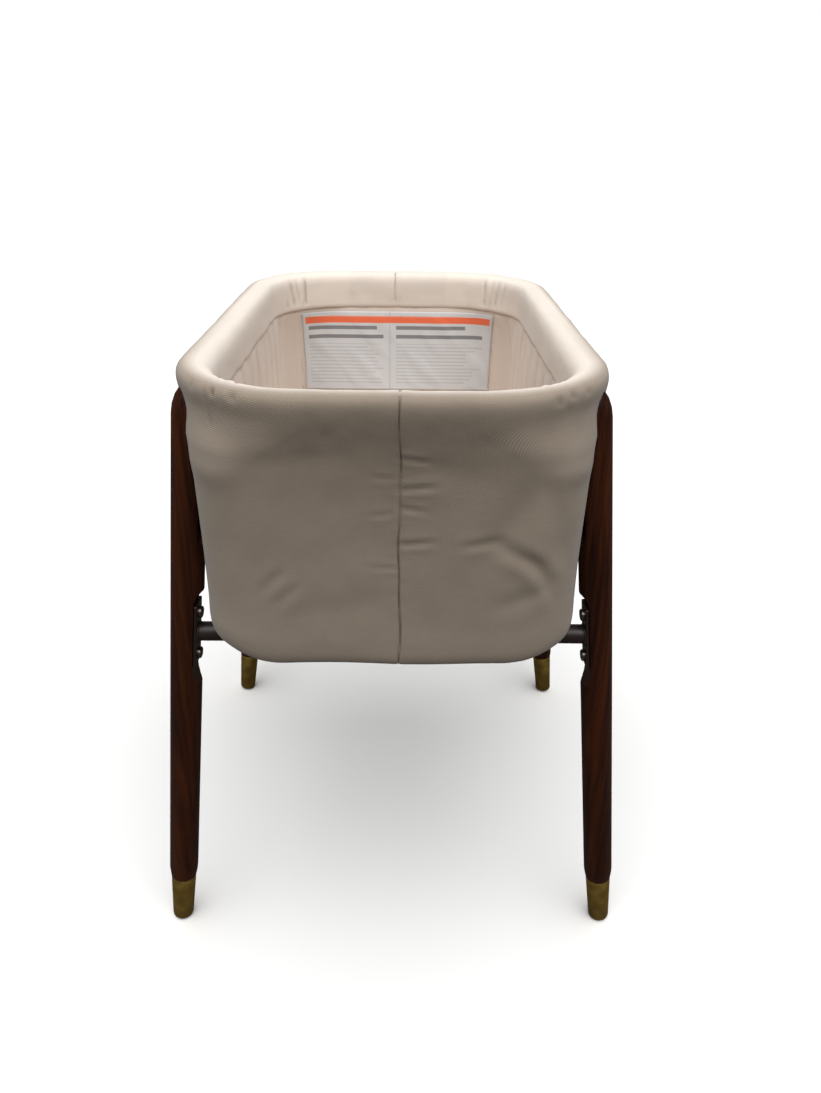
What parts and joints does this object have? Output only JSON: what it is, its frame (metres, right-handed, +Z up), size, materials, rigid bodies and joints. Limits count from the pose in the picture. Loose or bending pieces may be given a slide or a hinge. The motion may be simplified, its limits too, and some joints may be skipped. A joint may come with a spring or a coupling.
{
  "type": "bassinet on stand",
  "caption": "Padded fabric bassinet tub hung from a tubular rim between splayed wooden legs with metal tips and steel cross bars, with a mattress that lifts out.",
  "frame": {"origin": "on the floor, at the centre of the object's bounding box", "axes": "+X to the right across the width, +Y towards the head end (away from the near end), +Z up"},
  "size_m": [0.6268, 0.72, 0.8],
  "materials": {
    "walnut": "dark stained wood, satin lacquer",
    "brass": "satin antique brass",
    "rubber": "matte black",
    "brown_steel": "dark brown powder coat",
    "bolt_steel": "dark plated, polished dome",
    "zinc_steel": "bright zinc plate",
    "foam": "cream open-cell foam",
    "cover_twill": "beige woven twill",
    "liner_cotton": "pale beige plain cotton",
    "sheet_cotton": "soft jersey",
    "label_satin": "white satin, blank",
    "hardboard": "raw hardboard"
  },
  "bodies": {
    "stand_and_tub": {"leg_front_left": "walnut", "brass_tip_front_left": "brass", "foot_glide_front_left": "rubber", "flange_plate_front_left": "brown_steel", "hanger_plate_front_left": "brown_steel", "flange_bolt_upper_front_left": "bolt_steel", "flange_bolt_lower_front_left": "bolt_steel", "hanger_bolt_upper_front_left": "bolt_steel", "hanger_bolt_lower_front_left": "bolt_steel", "leg_front_right": "walnut", "brass_tip_front_right": "brass", "foot_glide_front_right": "rubber", "flange_plate_front_right": "brown_steel", "hanger_plate_front_right": "brown_steel", "flange_bolt_upper_front_right": "bolt_steel", "flange_bolt_lower_front_right": "bolt_steel", "hanger_bolt_upper_front_right": "bolt_steel", "hanger_bolt_lower_front_right": "bolt_steel", "leg_rear_left": "walnut", "brass_tip_rear_left": "brass", "foot_glide_rear_left": "rubber", "flange_plate_rear_left": "brown_steel", "hanger_plate_rear_left": "brown_steel", "flange_bolt_upper_rear_left": "bolt_steel", "flange_bolt_lower_rear_left": "bolt_steel", "hanger_bolt_upper_rear_left": "bolt_steel", "hanger_bolt_lower_rear_left": "bolt_steel", "leg_rear_right": "walnut", "brass_tip_rear_right": "brass", "foot_glide_rear_right": "rubber", "flange_plate_rear_right": "brown_steel", "hanger_plate_rear_right": "brown_steel", "flange_bolt_upper_rear_right": "bolt_steel", "flange_bolt_lower_rear_right": "bolt_steel", "hanger_bolt_upper_rear_right": "bolt_steel", "hanger_bolt_lower_rear_right": "bolt_steel", "cross_bar_front": "brown_steel", "rim_rail_front": "zinc_steel", "rim_foam_front": "foam", "cross_bar_rear": "brown_steel", "rim_rail_rear": "zinc_steel", "rim_foam_rear": "foam", "rim_connector_left": "zinc_steel", "rim_connector_right": "zinc_steel", "outer_cover": "cover_twill", "inner_liner": "liner_cotton", "wall_padding": "foam", "base_board": "hardboard", "sewn_label": "label_satin"},
    "mattress": {"mattress_core": "foam", "fitted_sheet": "sheet_cotton"},
    "button_left": {"snap_button_left": "zinc_steel"},
    "button_right": {"snap_button_right": "zinc_steel"}
  },
  "joints": [
    {"name": "mattress_lift", "type": "slide", "parent": "stand_and_tub", "child": "mattress", "axis": [0, 0, 1], "range_m": [0, 0.35]},
    {"name": "button_left_press", "type": "slide", "parent": "stand_and_tub", "child": "button_left", "axis": [0, 0, 1], "range_m": [0, 0.0049], "stiffness_N_per_m": 600, "springref_m": -0.004},
    {"name": "button_right_press", "type": "slide", "parent": "stand_and_tub", "child": "button_right", "axis": [0, 0, 1], "range_m": [0, 0.0049], "stiffness_N_per_m": 600, "springref_m": -0.004}
  ]
}
